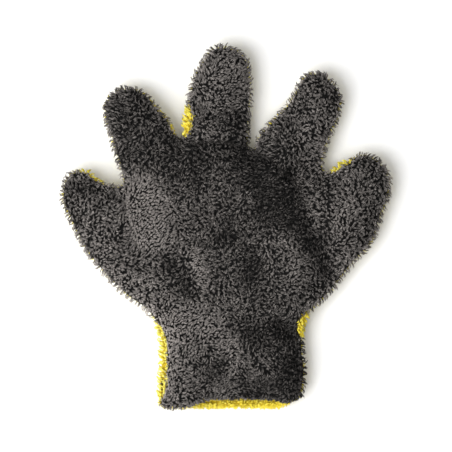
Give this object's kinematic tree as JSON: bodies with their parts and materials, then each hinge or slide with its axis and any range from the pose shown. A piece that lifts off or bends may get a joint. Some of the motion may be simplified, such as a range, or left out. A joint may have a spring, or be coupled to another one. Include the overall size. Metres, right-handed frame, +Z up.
{
  "type": "wash glove",
  "caption": "Five-finger plush wash glove with a grey face, a yellow face, a smooth lining and an elastic cuff, lying flat.",
  "frame": {"origin": "middle of the glove's outline, on the flat face it rests on", "axes": "+Z up through the thickness, from the yellow face to the grey face; +Y from the cuff to the fingertips; +X from the thumb to the little finger"},
  "size_m": [0.2485, 0.2703, 0.026],
  "materials": {
    "grey_plush": "long plush pile, matt",
    "yellow_plush": "long plush pile, matt",
    "seam_allowance": "backing cloth, matt",
    "lining_knit": "fine smooth knit",
    "elastic": "woven elastic tape",
    "thread": "polyester sewing thread"
  },
  "bodies": {
    "palm": {"palm_front_plush": "grey_plush", "palm_back_plush": "yellow_plush", "palm_edge_seam": "seam_allowance", "palm_front_lining": "lining_knit", "palm_back_lining": "lining_knit", "cuff_front_hem": "grey_plush", "cuff_back_hem": "yellow_plush", "cuff_elastic": "elastic", "cuff_hem_stitching": "thread"},
    "thumb": {"thumb_front_plush": "grey_plush", "thumb_back_plush": "yellow_plush", "thumb_edge_seam": "seam_allowance", "thumb_front_lining": "lining_knit", "thumb_back_lining": "lining_knit"},
    "index_finger_root": {"index_finger_root_front_plush": "grey_plush", "index_finger_root_back_plush": "yellow_plush", "index_finger_root_edge_seam": "seam_allowance", "index_finger_root_front_lining": "lining_knit", "index_finger_root_back_lining": "lining_knit"},
    "index_finger_tip": {"index_finger_tip_front_plush": "grey_plush", "index_finger_tip_back_plush": "yellow_plush", "index_finger_tip_edge_seam": "seam_allowance", "index_finger_tip_front_lining": "lining_knit", "index_finger_tip_back_lining": "lining_knit"},
    "middle_finger_root": {"middle_finger_root_front_plush": "grey_plush", "middle_finger_root_back_plush": "yellow_plush", "middle_finger_root_edge_seam": "seam_allowance", "middle_finger_root_front_lining": "lining_knit", "middle_finger_root_back_lining": "lining_knit"},
    "middle_finger_tip": {"middle_finger_tip_front_plush": "grey_plush", "middle_finger_tip_back_plush": "yellow_plush", "middle_finger_tip_edge_seam": "seam_allowance", "middle_finger_tip_front_lining": "lining_knit", "middle_finger_tip_back_lining": "lining_knit"},
    "ring_finger_root": {"ring_finger_root_front_plush": "grey_plush", "ring_finger_root_back_plush": "yellow_plush", "ring_finger_root_edge_seam": "seam_allowance", "ring_finger_root_front_lining": "lining_knit", "ring_finger_root_back_lining": "lining_knit"},
    "ring_finger_tip": {"ring_finger_tip_front_plush": "grey_plush", "ring_finger_tip_back_plush": "yellow_plush", "ring_finger_tip_edge_seam": "seam_allowance", "ring_finger_tip_front_lining": "lining_knit", "ring_finger_tip_back_lining": "lining_knit"},
    "little_finger": {"little_finger_front_plush": "grey_plush", "little_finger_back_plush": "yellow_plush", "little_finger_edge_seam": "seam_allowance", "little_finger_front_lining": "lining_knit", "little_finger_back_lining": "lining_knit"}
  },
  "joints": [
    {"name": "thumb_fold", "type": "hinge", "parent": "palm", "child": "thumb", "pos_m": [-0.09433, 0.01083, 0.013], "axis": [0.7071, 0.7071, 0], "range_deg": [0, 60]},
    {"name": "index_finger_root_fold", "type": "hinge", "parent": "palm", "child": "index_finger_root", "pos_m": [-0.05773, 0.05493, 0.013], "axis": [0.9135, 0.4067, 0], "range_deg": [0, 60]},
    {"name": "index_finger_middle_fold", "type": "hinge", "parent": "index_finger_root", "child": "index_finger_tip", "pos_m": [-0.0679, 0.07777, 0.013], "axis": [0.9135, 0.4067, 0], "range_deg": [0, 60]},
    {"name": "middle_finger_root_fold", "type": "hinge", "parent": "palm", "child": "middle_finger_root", "pos_m": [-0.00703, 0.06363, 0.013], "axis": [0.9962, -0.0872, 0], "range_deg": [0, 60]},
    {"name": "middle_finger_middle_fold", "type": "hinge", "parent": "middle_finger_root", "child": "middle_finger_tip", "pos_m": [-0.00398, 0.0985, 0.013], "axis": [0.9962, -0.0872, 0], "range_deg": [0, 60]},
    {"name": "ring_finger_root_fold", "type": "hinge", "parent": "palm", "child": "ring_finger_root", "pos_m": [0.04777, 0.05323, 0.013], "axis": [0.9397, -0.342, 0], "range_deg": [0, 60]},
    {"name": "ring_finger_middle_fold", "type": "hinge", "parent": "ring_finger_root", "child": "ring_finger_tip", "pos_m": [0.05872, 0.08331, 0.013], "axis": [0.9397, -0.342, 0], "range_deg": [0, 60]},
    {"name": "little_finger_fold", "type": "hinge", "parent": "palm", "child": "little_finger", "pos_m": [0.09517, 0.02414, 0.013], "axis": [0.7071, -0.7071, 0], "range_deg": [0, 60]}
  ]
}
